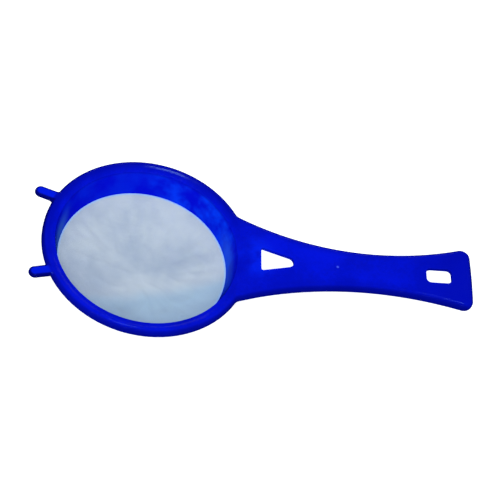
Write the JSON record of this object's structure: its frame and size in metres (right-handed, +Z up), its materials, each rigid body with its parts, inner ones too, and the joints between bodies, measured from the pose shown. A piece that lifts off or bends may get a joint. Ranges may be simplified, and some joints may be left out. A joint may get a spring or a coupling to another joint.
{
  "type": "hand strainer",
  "caption": "One-hand plastic strainer: round rim, tapered bowl wall with a shallow bag of fine woven mesh, rest ears and a flared hanging grip.",
  "frame": {"origin": "centre of the footprint, level with the lowest point of the mesh bag", "axes": "+X along the grip away from the bowl, +Z up out of the bowl's mouth, square to the rim, +Y to the side"},
  "size_m": [0.2136, 0.1, 0.0309],
  "materials": {
    "blue_plastic": "glossy moulded polypropylene, royal blue",
    "white_mesh": "fine plain-woven white nylon"
  },
  "bodies": {
    "root": {"strainer_frame": "blue_plastic", "strainer_mesh": "white_mesh"}
  },
  "joints": []
}
